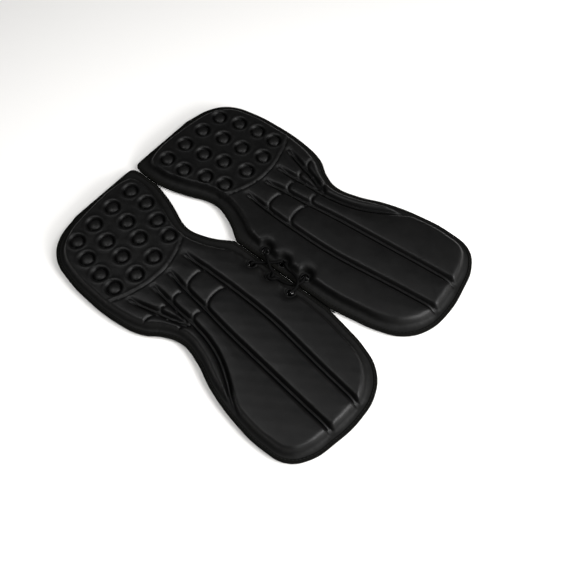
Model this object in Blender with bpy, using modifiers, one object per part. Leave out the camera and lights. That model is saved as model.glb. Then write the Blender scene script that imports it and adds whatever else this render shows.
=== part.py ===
"""A pair of flat protector pads laced together along their inner edges.

Each pad is a moulded front cover over foam, on a thin board whose edge is the flat flange, with a padded
lining at the back and a tape bound round the edge. Two creases divide a pad into a lower panel, a narrow
middle band and an upper panel, which bend against each other. The pair folds along its laced edge.

Metres, +Z up. The pads lie on z = 0 with their fronts up, +Y towards the upper panels, and x = 0 is the
laced edge: the left pad is at -X, and the right pad is its mirror image.
"""

import math

import bmesh
import bpy
from mathutils import Matrix, Vector

MM = 0.001

# Heights of the layers, from the floor up.
LINING_TOP = 4.2 * MM
BOARD_BOTTOM = 4.5 * MM
BOARD_TOP = 5.8 * MM
COVER_BOTTOM = 6.1 * MM
FLANGE_TOP = 7.5 * MM
RAISED_TOP = 17.0 * MM

GAP = 0.3 * MM  # between pieces that touch
SKIN = 1.4 * MM  # thickness of the cover
RAISED_ROUNDING = 3.0 * MM
INNER_ROUNDING = 1.0 * MM  # of the hollow under the cover and the foam in it
TAPE_WIDTH = 2.2 * MM
TAPE_BOTTOM = 4.1 * MM
TAPE_TOP = 7.9 * MM
TAPE_ROUNDING = 0.8 * MM
LINING_ROUNDING = 1.2 * MM
LINING_INSET = 10.0 * MM  # from the foot of the raised front

# The two flex creases, and the room that the stiff and the thin layers leave round each.
LOWER_FLEX_Y = 10.5 * MM
UPPER_FLEX_Y = 36.0 * MM
FLEX_AXIS_Z = 6.0 * MM
THICK_FLEX_GAP = 5.0 * MM
THIN_FLEX_GAP = 2.0 * MM
FOLD_AXIS_Z = FLANGE_TOP

MIDDLE_OF_PAD = 80 * MM  # from the laced edge
MIDDLE_OF_BAND = 70 * MM  # where the band is parted for its outer and inner stretch of tape

REACH = 0.3  # past every side of a pad, for the boxes that cut it
DRILL_LENGTH = 0.1

EYELETS = [(11.5 * MM, 2.0 * MM), (10.5 * MM, -24.0 * MM), (12.5 * MM, -54.0 * MM)]
EYELET_HOLE = 3.8 * MM
BARREL_RADIUS = 4.2 * MM
EYELET_RIM = 6.4 * MM
EYELET_TOP = 8.4 * MM
EYELET_CHAMFER = 0.4 * MM
BARREL_BOTTOM = 3.8 * MM
WASHER_RADIUS = 6.2 * MM
WASHER_TOP = 4.2 * MM
WASHER_BOTTOM = 3.8 * MM
SCALLOP_RADIUS = 8.4 * MM  # the raised front stands back from each eyelet
ROUND_STEPS = 16

LACE_RADIUS = 1.7 * MM
TIP_LENGTH = 12 * MM
TIP_RADIUS = 1.5 * MM
TIP_ROUNDING = 0.3 * MM
TIP_SIDES = 10
LACE_STEP = 5 * MM

SMOOTH_BELOW = math.radians(35)  # edges that turn by more than this stay sharp
AXIS_SIZE = 0.03  # drawn length of the empties on the joints

# Outlines of one pad, as (distance from the laced edge, y) in millimetres, clockwise from the top inner
# corner of the left pad seen from the front. A third value marks a sharp corner.
PAD_OUTLINE = [
    (14, 198, True), (4, 196), (0.6, 187, True), (0.6, 158, True), (6, 136), (13, 116), (20, 99),
    (22, 85), (19, 71), (12, 54), (5, 43), (0.6, 36, True), (0.6, -96, True), (6, -126), (12, -152),
    (24, -177), (46, -193), (78, -198), (112, -194), (140, -186), (158, -170), (163, -143), (159, -100), (149, -62),
    (136, -31), (131, -4), (137, 14), (150, 34), (157, 64), (158, 110), (154, 144), (145, 171), (127, 188),
    (92, 198, True),
]  # fmt: skip

RAISED_OUTLINE = [
    (20, 187.5), (13.5, 181), (11.5, 164), (14, 147), (21, 126), (29, 106), (32.5, 86), (30, 66), (22, 45),
    (14, 29), (10.5, 8, True), (10.5, -60, True), (12.5, -98), (17, -126), (24, -155), (38, -175), (58, -186.5),
    (80, -188), (110, -184.5), (137, -177.5), (151.5, -166), (155.5, -143), (151.5, -102), (141.5, -63),
    (128.5, -31.5), (123.5, -4), (129.8, 16.5), (142.8, 37.5), (149.6, 65), (150.6, 110), (146.5, 143),
    (138.2, 166), (122, 180), (92, 188.5),
]  # fmt: skip

# The lace's route in millimetres: one point where it turns, from the free end at the left pad's last eyelet
# to the one at the right pad's.
LACE_ROUTE = [
    (-2.3, -92, 1.9), (-2.3, -78, 1.9), (-4.3, -66, 1.9), (-10, -57.2, 1.9), (-11.9, -54.8, 1.9),
    (-12.9, -53.4, 2.6), (-13.4, -52.9, 4.6), (-14, -53.5, 7.6), (-13.3, -54, 9.5), (-11.4, -54.4, 10.3),
    (-8, -55.2, 10.4), (-3.8, -55.6, 12), (0.5, -53.5, 13.3), (4.3, -48, 11.7), (7.4, -41.5, 9.8),
    (8.1, -36, 9.5), (8.4, -32.4, 9.8), (9.8, -29.6, 10.4), (10.6, -27.4, 10.2), (10.9, -26, 8.6),
    (10.9, -25.8, 4.6), (10.4, -25.8, 2.7), (9, -25.8, 1.9), (0, -25.8, 1.9), (-9, -25.8, 1.9),
    (-10.4, -25.8, 2.7), (-10.9, -25.8, 4.6), (-10.9, -25.9, 7.6), (-10.1, -26.1, 9.6), (-8, -26, 10.4),
    (-5.6, -23.4, 10.5), (-4.2, -19, 11.4), (0.2, -11.2, 13.3), (4, -6, 12), (7, -1.8, 10.7),
    (9.8, 1, 10.4), (12.3, 2, 9.5), (13, 2, 7.4), (13, 2, 4.6), (12.3, 2, 2.6), (10.5, 2, 1.9),
    (0, 2, 1.9), (-10.5, 2, 1.9), (-12.3, 2, 2.6), (-13, 2, 4.6), (-13, 2, 7.4), (-12.2, 1.8, 9.5),
    (-9.6, 0.6, 10.4), (-6.6, -2.8, 10.1), (-3.4, -7.2, 9.8), (0.2, -11.4, 9.8), (4.6, -16.2, 9.8),
    (7.4, -18.8, 10.3), (9.3, -20.4, 10.4), (10.6, -21.6, 9.8), (10.9, -22.2, 8.2), (10.9, -22.2, 4.6),
    (10.4, -22.2, 2.7), (9, -22.2, 1.9), (0, -22.2, 1.9), (-9, -22.2, 1.9), (-10.4, -22.2, 2.7),
    (-10.9, -22.2, 4.6), (-10.1, -22.2, 7.6), (-10.5, -22.3, 9.5), (-12.2, -22.7, 10.3),
    (-14.2, -24.4, 10.4), (-14.2, -27.2, 10.4), (-12.4, -29.4, 10.3), (-9.8, -30.5, 10.1),
    (-8.1, -33.4, 9.6), (-7.9, -38.4, 9.6), (-6.4, -44, 9.7), (-3, -50, 9.8), (1.2, -54.2, 9.8),
    (5.4, -55.6, 10.2), (9, -55.2, 10.4), (11.8, -54.4, 10.1), (13.7, -53.6, 8.6), (13.5, -52.9, 4.6),
    (12.9, -53.4, 2.6), (11.9, -54.8, 1.9), (10, -57.2, 1.9), (4.3, -66, 1.9), (2.3, -78, 1.9),
    (2.3, -92, 1.9),
]  # fmt: skip

# Colours as (red, green, blue, alpha), then roughness and metallic.
COVER_LOOK = ((0.014, 0.014, 0.015, 1), 0.42, 0)
FOAM_LOOK = ((0.05, 0.05, 0.055, 1), 0.95, 0)
BOARD_LOOK = ((0.02, 0.02, 0.02, 1), 0.7, 0)
LINING_LOOK = ((0.018, 0.018, 0.02, 1), 0.9, 0)
TAPE_LOOK = ((0.008, 0.008, 0.009, 1), 0.55, 0)
EYELET_LOOK = ((0.02, 0.02, 0.022, 1), 0.35, 0.9)
LACE_LOOK = ((0.008, 0.008, 0.009, 1), 0.85, 0)
TIP_LOOK = ((0.01, 0.01, 0.01, 1), 0.3, 0)


def clear_scene():
    for obj in list(bpy.data.objects):
        bpy.data.objects.remove(obj)


def new_collection(name):
    found = bpy.data.collections.new(name)
    bpy.context.scene.collection.children.link(found)
    return found


def material(name, look):
    colour, roughness, metallic = look
    made = bpy.data.materials.new(name)
    made.use_nodes = True
    shader = made.node_tree.nodes["Principled BSDF"]
    shader.inputs["Base Color"].default_value = colour
    shader.inputs["Roughness"].default_value = roughness
    shader.inputs["Metallic"].default_value = metallic
    return made


def mesh_object(name, mesh, group):
    obj = bpy.data.objects.new(name, mesh)
    group.objects.link(obj)
    return obj


def mesh_of_curve(obj, group):
    """The curve as a closed mesh object, in place of the curve."""
    bpy.context.view_layer.update()
    evaluated = obj.evaluated_get(bpy.context.evaluated_depsgraph_get())
    mesh = bpy.data.meshes.new_from_object(evaluated)
    mesh.transform(obj.matrix_world)
    shape = bmesh.new()
    shape.from_mesh(mesh)
    bmesh.ops.remove_doubles(shape, verts=shape.verts, dist=0.01 * MM)
    bmesh.ops.recalc_face_normals(shape, faces=shape.faces)
    shape.to_mesh(mesh)
    shape.free()
    name = obj.name
    bpy.data.objects.remove(obj)
    return mesh_object(name, mesh, group)


def slab(name, outline, bottom, top, group, offset=0.0, rounding=0.0):
    """The left pad's outline as a flat solid from bottom to top, grown by offset, with its rims rounded."""
    curve = bpy.data.curves.new(name, "CURVE")
    curve.dimensions = "2D"
    curve.fill_mode = "BOTH"
    curve.resolution_u = 2
    spline = curve.splines.new("BEZIER")
    spline.bezier_points.add(len(outline) - 1)
    for point, (inward, y, *sharp) in zip(spline.bezier_points, outline):
        point.co = (-inward * MM, y * MM, 0)
        handle = "VECTOR" if sharp else "AUTO"
        point.handle_left_type = handle
        point.handle_right_type = handle
    spline.use_cyclic_u = True
    curve.bevel_depth = rounding
    curve.bevel_resolution = 0
    curve.extrude = (top - bottom) / 2 - rounding
    curve.offset = offset - rounding
    obj = bpy.data.objects.new(name, curve)
    obj.location.z = (top + bottom) / 2
    group.objects.link(obj)
    return mesh_of_curve(obj, group)


def box(name, low, high, group):
    bpy.ops.mesh.primitive_cube_add(size=1)
    obj = bpy.context.object
    obj.name = name
    low, high = Vector(low), Vector(high)
    obj.data.transform(Matrix.Translation((low + high) / 2) @ Matrix.Diagonal(high - low).to_4x4())
    move_to(obj, group)
    return obj


def drill(name, x, y, radius, group):
    bpy.ops.mesh.primitive_cylinder_add(
        vertices=ROUND_STEPS, radius=radius, depth=DRILL_LENGTH, location=(x, y, 0), end_fill_type="NGON"
    )
    obj = bpy.context.object
    obj.name = name
    move_to(obj, group)
    return hide_cutter(obj)


def move_to(obj, group):
    for owner in list(obj.users_collection):
        owner.objects.unlink(obj)
    group.objects.link(obj)


def hide_cutter(obj):
    obj.hide_render = True
    obj.display_type = "WIRE"
    return obj


def combine(obj, other, operation):
    modifier = obj.modifiers.new(other.name, "BOOLEAN")
    modifier.operation = operation
    modifier.object = other
    modifier.solver = "EXACT"


def baked(obj, group):
    """The object with its modifiers applied, as a helper that the segments are cut from."""
    bpy.context.view_layer.update()
    mesh = bpy.data.meshes.new_from_object(obj.evaluated_get(bpy.context.evaluated_depsgraph_get()))
    name = obj.name
    bpy.data.objects.remove(obj)
    return hide_cutter(mesh_object(name, mesh, group))


def whole_layers(helpers):
    """Each layer of the left pad in one piece, before the creases divide it."""
    edge = -TAPE_WIDTH - GAP
    cover = slab("whole_cover", PAD_OUTLINE, COVER_BOTTOM, FLANGE_TOP, helpers, edge)
    raised = slab(
        "raised_block", RAISED_OUTLINE, COVER_BOTTOM, RAISED_TOP, helpers, 0, RAISED_ROUNDING
    )
    cavity = slab(
        "cavity", RAISED_OUTLINE, 0, RAISED_TOP - SKIN, helpers, -SKIN - RAISED_ROUNDING / 3, INNER_ROUNDING
    )
    floor_of_raised = box(
        "below_the_cover", (-REACH, -REACH, -REACH), (REACH, REACH, COVER_BOTTOM), helpers
    )
    core = slab(
        "whole_core",
        RAISED_OUTLINE,
        COVER_BOTTOM,
        RAISED_TOP - SKIN - GAP,
        helpers,
        -SKIN - GAP - RAISED_ROUNDING / 3,
        INNER_ROUNDING,
    )
    board = slab("whole_board", PAD_OUTLINE, BOARD_BOTTOM, BOARD_TOP, helpers, edge)
    lining = slab(
        "whole_lining", RAISED_OUTLINE, 0, LINING_TOP, helpers, -LINING_INSET, LINING_ROUNDING
    )
    tape = slab("whole_tape", PAD_OUTLINE, TAPE_BOTTOM, TAPE_TOP, helpers, 0, TAPE_ROUNDING)
    tape_inside = slab("tape_inside", PAD_OUTLINE, 0, RAISED_TOP, helpers, -TAPE_WIDTH)
    for number, (inward, y) in enumerate(EYELETS, 1):
        reaches = {raised: 0, cavity: SKIN, core: SKIN + 2 * GAP}
        for layer, reach in reaches.items():
            scallop = drill(f"scallop_{number}", -inward, y, SCALLOP_RADIUS + reach, helpers)
            combine(layer, scallop, "DIFFERENCE")
    combine(cover, raised, "UNION")
    combine(cover, cavity, "DIFFERENCE")
    combine(cover, floor_of_raised, "DIFFERENCE")
    combine(tape, tape_inside, "DIFFERENCE")
    for number, (inward, y) in enumerate(EYELETS, 1):
        hole = drill(f"eyelet_hole_{number}", -inward, y, BARREL_RADIUS + GAP, helpers)
        combine(cover, hole, "DIFFERENCE")
        combine(board, hole, "DIFFERENCE")
    for helper in (raised, cavity, floor_of_raised, tape_inside):
        hide_cutter(helper)
    return {
        "cover": baked(cover, helpers),
        "core": baked(core, helpers),
        "board": baked(board, helpers),
        "lining": baked(lining, helpers),
        "binding": baked(tape, helpers),
    }


def segment_boxes(flex_gap, label, helpers):
    """The three boxes that cut a layer at the creases."""
    half = flex_gap / 2
    spans = {
        "lower": (-REACH, LOWER_FLEX_Y - half),
        "band": (LOWER_FLEX_Y + half, UPPER_FLEX_Y - half),
        "upper": (UPPER_FLEX_Y + half, REACH),
    }
    return {
        part: hide_cutter(
            box(f"{part}_of_{label}", (-REACH, low, -REACH), (REACH, high, REACH), helpers)
        )
        for part, (low, high) in spans.items()
    }


def mirrored(mesh):
    copy = mesh.copy()
    copy.transform(Matrix.Diagonal((-1, 1, 1, 1)))
    copy.flip_normals()
    return copy


def cut_layer(whole, cutter, name, mirror, look, body, parts):
    """One segment of a layer as a finished piece."""
    obj = mesh_object(name, whole.data.copy(), parts)
    combine(obj, cutter, "INTERSECT")
    bpy.context.view_layer.update()
    mesh = bpy.data.meshes.new_from_object(obj.evaluated_get(bpy.context.evaluated_depsgraph_get()))
    bpy.data.objects.remove(obj)
    obj = mesh_object(name, mirrored(mesh) if mirror else mesh, parts)
    finish_piece(obj, look, body)
    return obj


def finish_piece(obj, look, body):
    obj.data.materials.clear()
    obj.data.materials.append(look)
    if obj.type == "MESH":
        obj.data.shade_smooth()
        obj.data.set_sharp_from_angle(angle=SMOOTH_BELOW)
    attach(obj, body)


def attach(obj, body):
    bpy.context.view_layer.update()
    obj.parent = body
    obj.matrix_parent_inverse = body.matrix_world.inverted()


def joint_empty(name, location, parent, parts):
    obj = bpy.data.objects.new(name, None)
    obj.location = location
    obj.empty_display_size = AXIS_SIZE
    parts.objects.link(obj)
    if parent:
        attach(obj, parent)
    bpy.context.view_layer.update()
    return obj


def make_bodies(parts):
    """An empty for each rigid body, on the axis that it turns about."""
    root = joint_empty("axis_left_lower", (0, 0, 0), None, parts)
    fold = joint_empty("axis_lacing_fold", (0, 0, FOLD_AXIS_Z), root, parts)
    bodies = {"left_lower": root, "right_lower": fold}
    for side, sign in (("left", -1), ("right", 1)):
        across = sign * MIDDLE_OF_PAD
        lower = joint_empty(
            f"axis_{side}_lower_flex", (across, LOWER_FLEX_Y, FLEX_AXIS_Z), bodies[f"{side}_lower"], parts
        )
        upper = joint_empty(
            f"axis_{side}_upper_flex", (across, UPPER_FLEX_Y, FLEX_AXIS_Z), lower, parts
        )
        bodies[f"{side}_band"] = lower
        bodies[f"{side}_upper"] = upper
    return bodies


def turned(name, profile, x, y, parts):
    """A ring with the closed profile of (radius, height) corners, turned about an upright axis at x, y."""
    mesh = bpy.data.meshes.new(name)
    shape = bmesh.new()
    corners = [shape.verts.new((radius, 0, height)) for radius, height in profile]
    for first, second in zip(corners, corners[1:] + corners[:1]):
        shape.edges.new((first, second))
    shape.to_mesh(mesh)
    shape.free()
    obj = mesh_object(name, mesh, parts)
    obj.location = (x, y, 0)
    screw = obj.modifiers.new("turn", "SCREW")
    screw.steps = ROUND_STEPS
    screw.render_steps = ROUND_STEPS
    screw.use_merge_vertices = True
    screw.merge_threshold = 0.01 * MM
    return obj


def make_eyelet(side, sign, number, inward, y, looks, body, parts):
    rim_bottom = FLANGE_TOP + GAP
    eyelet = turned(
        f"{side}_eyelet_{number}",
        [
            (EYELET_HOLE, BARREL_BOTTOM),
            (EYELET_HOLE, EYELET_TOP - EYELET_CHAMFER),
            (EYELET_HOLE + EYELET_CHAMFER, EYELET_TOP),
            (EYELET_RIM - EYELET_CHAMFER, EYELET_TOP),
            (EYELET_RIM, EYELET_TOP - EYELET_CHAMFER),
            (EYELET_RIM, rim_bottom),
            (BARREL_RADIUS, rim_bottom),
            (BARREL_RADIUS, BARREL_BOTTOM),
        ],
        sign * inward,
        y,
        parts,
    )
    finish_piece(eyelet, looks["eyelet"], body)
    washer = turned(
        f"{side}_washer_{number}",
        [
            (BARREL_RADIUS + GAP, WASHER_BOTTOM),
            (BARREL_RADIUS + GAP, WASHER_TOP),
            (WASHER_RADIUS, WASHER_TOP),
            (WASHER_RADIUS, WASHER_BOTTOM),
        ],
        sign * inward,
        y,
        parts,
    )
    finish_piece(washer, looks["eyelet"], body)


def smooth_route(points, step):
    """Points about step apart along a smooth curve through the given ones."""
    knots = [2 * points[0] - points[1], *points, 2 * points[-1] - points[-2]]
    fine = []
    for a, b, c, d in zip(knots, knots[1:], knots[2:], knots[3:]):
        count = max(1, round((c - b).length / step))
        for i in range(count):
            t = i / count
            fine.append(
                0.5
                * (
                    2 * b
                    + (c - a) * t
                    + (2 * a - 5 * b + 4 * c - d) * t**2
                    + (3 * b - a - 3 * c + d) * t**3
                )
            )
    fine.append(points[-1])
    return fine


def make_lace(looks, body, parts):
    route = smooth_route([Vector(p) * MM for p in LACE_ROUTE], LACE_STEP)
    curve = bpy.data.curves.new("lace", "CURVE")
    curve.dimensions = "3D"
    curve.bevel_depth = LACE_RADIUS
    curve.bevel_resolution = 2
    curve.use_fill_caps = True
    spline = curve.splines.new("POLY")
    spline.points.add(len(route) - 1)
    for point, place in zip(spline.points, route):
        point.co = (*place, 1)
    lace = bpy.data.objects.new("lace", curve)
    parts.objects.link(lace)
    finish_piece(lace, looks["lace"], body)


def make_tip(side, end, looks, body, parts):
    """The stiff sleeve on a free end of the lace, which lies along -Y."""
    bpy.ops.mesh.primitive_cylinder_add(
        vertices=TIP_SIDES,
        radius=TIP_RADIUS,
        depth=TIP_LENGTH,
        location=(end.x, end.y - GAP - TIP_LENGTH / 2, end.z),
        rotation=(math.pi / 2, 0, 0),
    )
    tip = bpy.context.object
    tip.name = f"lace_tip_{side}"
    move_to(tip, parts)
    bevel = tip.modifiers.new("rounded", "BEVEL")
    bevel.width = TIP_ROUNDING
    bevel.limit_method = "ANGLE"
    finish_piece(tip, looks["tip"], body)


def make_pad(side, sign, layers, looks, bodies, cutters, parts):
    mirror = sign > 0
    for layer in ("cover", "core", "board", "lining"):
        gap = "thin" if layer == "board" else "thick"
        for part, cutter in cutters[gap].items():
            cut_layer(
                layers[layer],
                cutter,
                f"{side}_{part}_{layer}",
                mirror,
                looks[layer],
                bodies[f"{side}_{part}"],
                parts,
            )
    for part, cutter in cutters["tape"].items():
        body = bodies[f"{side}_{part.split('_')[0]}"]
        name = part.split("_")
        label = "_".join([side, name[0], "binding", *name[1:]])
        cut_layer(layers["binding"], cutter, label, mirror, looks["binding"], body, parts)
    for number, (inward, y) in enumerate(EYELETS, 1):
        make_eyelet(side, sign, number, inward, y, looks, bodies[f"{side}_lower"], parts)


def tape_cutters(thin, helpers):
    """The thin layers' boxes, with the band's halved: the tape crosses it once on each side."""
    half = THIN_FLEX_GAP / 2
    low, high = LOWER_FLEX_Y + half, UPPER_FLEX_Y - half
    middle = -MIDDLE_OF_BAND
    outer = box("band_outer_of_tape", (-REACH, low, -REACH), (middle, high, REACH), helpers)
    inner = box("band_inner_of_tape", (middle, low, -REACH), (REACH, high, REACH), helpers)
    return {
        "lower": thin["lower"],
        "upper": thin["upper"],
        "band_outer": hide_cutter(outer),
        "band_inner": hide_cutter(inner),
    }


def main():
    clear_scene()
    parts = new_collection("laced_pads")
    helpers = new_collection("cutters")
    looks = {
        "cover": material("cover", COVER_LOOK),
        "core": material("foam", FOAM_LOOK),
        "board": material("board", BOARD_LOOK),
        "lining": material("lining", LINING_LOOK),
        "binding": material("binding", TAPE_LOOK),
        "eyelet": material("eyelet", EYELET_LOOK),
        "lace": material("lace", LACE_LOOK),
        "tip": material("lace_tip", TIP_LOOK),
    }
    bodies = make_bodies(parts)
    layers = whole_layers(helpers)
    cutters = {
        "thick": segment_boxes(THICK_FLEX_GAP, "thick", helpers),
        "thin": segment_boxes(THIN_FLEX_GAP, "thin", helpers),
    }
    cutters["tape"] = tape_cutters(cutters["thin"], helpers)
    make_pad("left", -1, layers, looks, bodies, cutters, parts)
    make_pad("right", 1, layers, looks, bodies, cutters, parts)
    make_lace(looks, bodies["left_lower"], parts)
    make_tip("left", Vector(LACE_ROUTE[0]) * MM, looks, bodies["left_lower"], parts)
    make_tip("right", Vector(LACE_ROUTE[-1]) * MM, looks, bodies["right_lower"], parts)


main()
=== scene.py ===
"""The looks of a pair of laced, moulded protector pads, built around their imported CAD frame.

The front of each pad is one relief: a raised body that falls to a flat flange, divided by grooves and two
cross creases into cells, with a panel of round domes above a curved lip. The relief is a function of the
place on the pad, and the cover and the foam under it are meshes that follow it. The board, the padded lining
and the tape round the rim follow the plan of the pad. Lengths are millimetres until a mesh is made: u is the
distance from the laced edge, and the left pad has x = -u.
"""

import math

import bpy
import numpy as np
from mathutils import Matrix, Vector
from mathutils.geometry import delaunay_2d_cdt


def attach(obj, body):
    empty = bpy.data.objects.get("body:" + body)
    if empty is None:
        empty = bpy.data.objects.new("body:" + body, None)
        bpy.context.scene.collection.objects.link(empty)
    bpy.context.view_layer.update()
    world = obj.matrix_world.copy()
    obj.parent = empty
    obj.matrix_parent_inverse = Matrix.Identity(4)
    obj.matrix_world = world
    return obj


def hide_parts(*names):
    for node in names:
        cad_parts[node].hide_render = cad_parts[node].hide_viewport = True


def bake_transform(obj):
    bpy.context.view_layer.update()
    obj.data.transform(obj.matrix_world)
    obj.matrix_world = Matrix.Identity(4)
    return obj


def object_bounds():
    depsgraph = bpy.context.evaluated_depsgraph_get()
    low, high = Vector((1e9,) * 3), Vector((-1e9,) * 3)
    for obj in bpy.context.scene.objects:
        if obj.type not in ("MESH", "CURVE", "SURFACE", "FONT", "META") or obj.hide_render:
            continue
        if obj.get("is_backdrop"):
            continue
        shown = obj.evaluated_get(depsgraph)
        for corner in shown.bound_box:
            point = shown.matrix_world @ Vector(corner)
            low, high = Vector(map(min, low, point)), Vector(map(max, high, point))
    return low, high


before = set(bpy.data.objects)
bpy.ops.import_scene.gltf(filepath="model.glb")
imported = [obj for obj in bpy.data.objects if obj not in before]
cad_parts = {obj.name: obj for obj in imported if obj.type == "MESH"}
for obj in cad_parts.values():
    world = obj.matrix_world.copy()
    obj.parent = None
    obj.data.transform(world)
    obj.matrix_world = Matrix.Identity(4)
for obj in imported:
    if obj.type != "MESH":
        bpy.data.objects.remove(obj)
CAD_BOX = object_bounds()

MM = 0.001
SIDES = {"left": -1, "right": 1}
PARTS = ("lower", "upper")

# Heights from the floor up, the thickness of the cover, and the gap between layers.
LINING_TOP = 4.2
BOARD_BOTTOM = 4.5
BOARD_TOP = 5.8
COVER_BOTTOM = 6.1
FLANGE_TOP = 7.5
SKIN = 1.4
CLEARANCE = 0.3
TAPE_BOTTOM = 4.1
TAPE_TOP = 7.9

# Each cover, board, lining and tape is in two pieces that meet in the middle of the band between the creases.
# The two heights that bound each piece's bend.
SPLIT_Y = 23.25
BENDS = {"lower": (2.0, 19.5), "upper": (27.0, 45.0)}

# The outlines of a pad and of its raised body: anchors (u, y) of a smooth curve, where True marks a sharp one.
PAD_OUTLINE = [
    (14, 198, True), (4, 196), (0.6, 187, True), (0.6, 158, True), (6, 136), (13, 116), (20, 99),
    (22, 85), (19, 71), (12, 54), (5, 43), (0.6, 36, True), (0.6, -96, True), (6, -126), (12, -152),
    (24, -177), (46, -193), (78, -198), (112, -194), (140, -186), (158, -170), (163, -143), (159, -100),
    (149, -62), (136, -31), (131, -4), (137, 14), (150, 34), (157, 64), (158, 110), (154, 144),
    (145, 171), (127, 188), (92, 198, True),
]

RAISED_OUTLINE = [
    (20, 187.5), (13.5, 181), (11.5, 164), (14, 147), (21, 126), (29, 106), (32.5, 86), (30, 66),
    (22, 45), (14, 29), (10.5, 8, True), (10.5, -60, True), (12.5, -98), (17, -126), (24, -155),
    (38, -175), (58, -186.5), (80, -188), (110, -184.5), (137, -177.5), (151.5, -166), (155.5, -143),
    (151.5, -102), (141.5, -63), (128.5, -31.5), (123.5, -4), (129.8, 16.5), (142.8, 37.5), (149.6, 65),
    (150.6, 110), (146.5, 143), (138.2, 166), (122, 180), (92, 188.5),
]

# The grooves between the cells, and the two creases across them.
GROOVES = [
    [(52.5, 62.5), (52, 50), (51, 30), (50.5, 2), (51, -38), (52.5, -63), (55.5, -88), (62.5, -138),
     (69.5, -196)],
    [(80.3, 59), (81, 51), (83.5, 37), (87.5, 2), (93, -38), (98, -88), (103, -138), (108, -194)],
    [(104.3, 60), (105, 48), (106.5, 32), (108.5, 4), (110, -10), (113, -26), (120, -47), (131, -67),
     (145, -87), (153, -99)],
    [(131.4, 68), (129.6, 60), (125, 43), (119, 20), (112, 2)],
]
CREASES = [
    [(51, 33), (84, 32), (106, 33), (124, 35), (146, 37)],
    [(50.5, 0), (87.5, 0), (108.5, 1.5), (128, 4)],
]
CREASE_ARCH = 0.13
LIP = [
    (162, 88), (149, 83), (138, 77.5), (126, 73), (108, 68), (90, 66), (73, 67), (55, 72), (42, 77.5),
    (31, 85), (22, 94),
]
DOMES = [
    (30.5, 170), (60, 169.5), (89, 168), (117, 166),
    (31, 144.5), (63.5, 142.5), (96, 141), (125.5, 141),
    (40, 118), (70, 116.5), (99, 114), (130, 116),
    (46, 93.5), (77, 87), (105, 86), (132, 92),
]
EYELETS = [(11.5, 2.0), (10.5, -24.0), (12.5, -54.0)]

# The relief above the flange. A place is how far from a line or a centre something stands, a reach is how
# far it extends, and a power is how steep its foot is.
BODY_HEIGHT = 8.4
BORDER_REACH = 5.5
BORDER_POWER = 2.3
SOFT_POWER = 1.6
# At the lower end the edge of the body is a longer slope.
END_REACH = 8.5
END_FROM = -135.0
END_SPAN = 50.0
# The body stands back from each eyelet and is lower near it.
SCALLOP_RADIUS = 6.6
SCALLOP_STEEPNESS = 1.6
SCALLOP_LEVEL = 0.55
SCALLOP_REACH = 7.5
SCALLOP_CORNER = 0.8
CROWN = 2.2
CROWN_REACH = 9.0
PANEL_CROWN = 0.77
# A groove is a channel with a ridge along its middle. It deepens from its start and opens at the body's edge.
GROOVE_EDGE = 2.3
GROOVE_REACH = 3.8
GROOVE_POWER = 2.2
GROOVE_DEPTH = 4.8
GROOVE_START = 14.0
GROOVE_MOUTH = 16.0
GROOVE_CORNER = 1.0
RIDGE_HEIGHT = 3.0
RIDGE_WIDTH = 1.6
CREASE_FLOOR = 0.2
CREASE_STEEPNESS = 1.5
CREASE_DEPTH = 3.0
CELL_CORNER = 2.2
# The lip is a fine step with a bead above it, which runs on round the panel at a lower height.
LIP_DEPTH = 1.3
LIP_REACH = 2.4
LIP_POWER = 2
BEAD_HEIGHT = 0.8
BEAD_PLACE = 3.0
BEAD_WIDTH = 1.5
BORDER_BEAD = 0.3
DOME_RADIUS = 7.2
DOME_DEPTH = 4.0
DOME_RISE = 0.1
RING_FLOOR = 0.8
RING_SLOPE = 1.4
RIM_HEIGHT = 0.55
RIM_PLACE = 11.6
RIM_WIDTH = 1.1

# Where the cover is worn, and where painted shade darkens its grooves and the foot of its body.
EDGE_INSET = 1.5
WORN_PLACE = 3.0
WORN_WIDTH = 1.4
DOME_WEAR = 0.7
DOME_WEAR_WIDTH = 3.0
GROOVE_SHADE_WIDTH = 1.2
GROOVE_SHADE_PLACE = -0.1
FOOT_SHADE_WIDTH = 1.6
FOOT_SHADE_PLACE = 0.6
FLANGE_EDGE = 1.0
FLANGE_REACH = 3.0

# Rows of points beside each feature, which give the cover's mesh its edges along the relief.
DOME_ROWS = (0.01, 2.4, 4.4, 5.7, 6.5, 7.2, 8, 8.8, 9.8, 10.7, 11.6, 12.5, 13.5)
GROOVE_ROWS = (0.8, 1.55, 2.3, 3.05, 3.8, 4.6, 5.4, 6.6)
CREASE_ROWS = (0.7, 1.4, 2.1, 3, 4.2)
LIP_ROWS = (0.7, 1.4, 2.1, 3, 4, 5.2)
BODY_ROWS = (0, -0.7, 0.6, 1.2, 1.8, 2.6, 3.6, 4.8, 6.2, 7.8)
SCALLOP_ROWS = (-0.7, 0, 0.6, 1.2, 1.8, 2.6, 3.6, 4.8, 6.2, -0.6)
ROW_STEP = 1.7
RING_STEP = 1.5

# How far inside the pad's or the body's outline each layer ends, and the room that it leaves.
RIM_INSET = 0.8
EYELET_HOLE = 4.5
FOAM_STAND_BACK = 2.6
FOAM_INSET = 3.5
FOAM_LEAST = 0.5
LINING_INSET = 10

# The lining's quilting, the stitches in the tape, and the rolled rims of the eyelets.
QUILT_PITCH = 46
QUILT_SLOPE = 0.55
STITCH_INSET = 3.0
STITCH_PITCH = 3.8
STITCH_LENGTH = 3.0
STITCH_RADIUS = 0.3
STITCH_RINGS = 5
STITCH_SIDES = 6
EYELET_RIM = 5.1

# The lace: its strands, the fine threads in each, and its route as (x, y, height) from the left tip on.
LACE_RADIUS = 1.7
LACE_STEP = 0.55
LACE_SIDES = 16
STRANDS = 8
STRAND_PITCH = 9.0
YARN_HEIGHT = 0.14
THREADS = 6
THREAD_SLANT = 1.4
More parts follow.
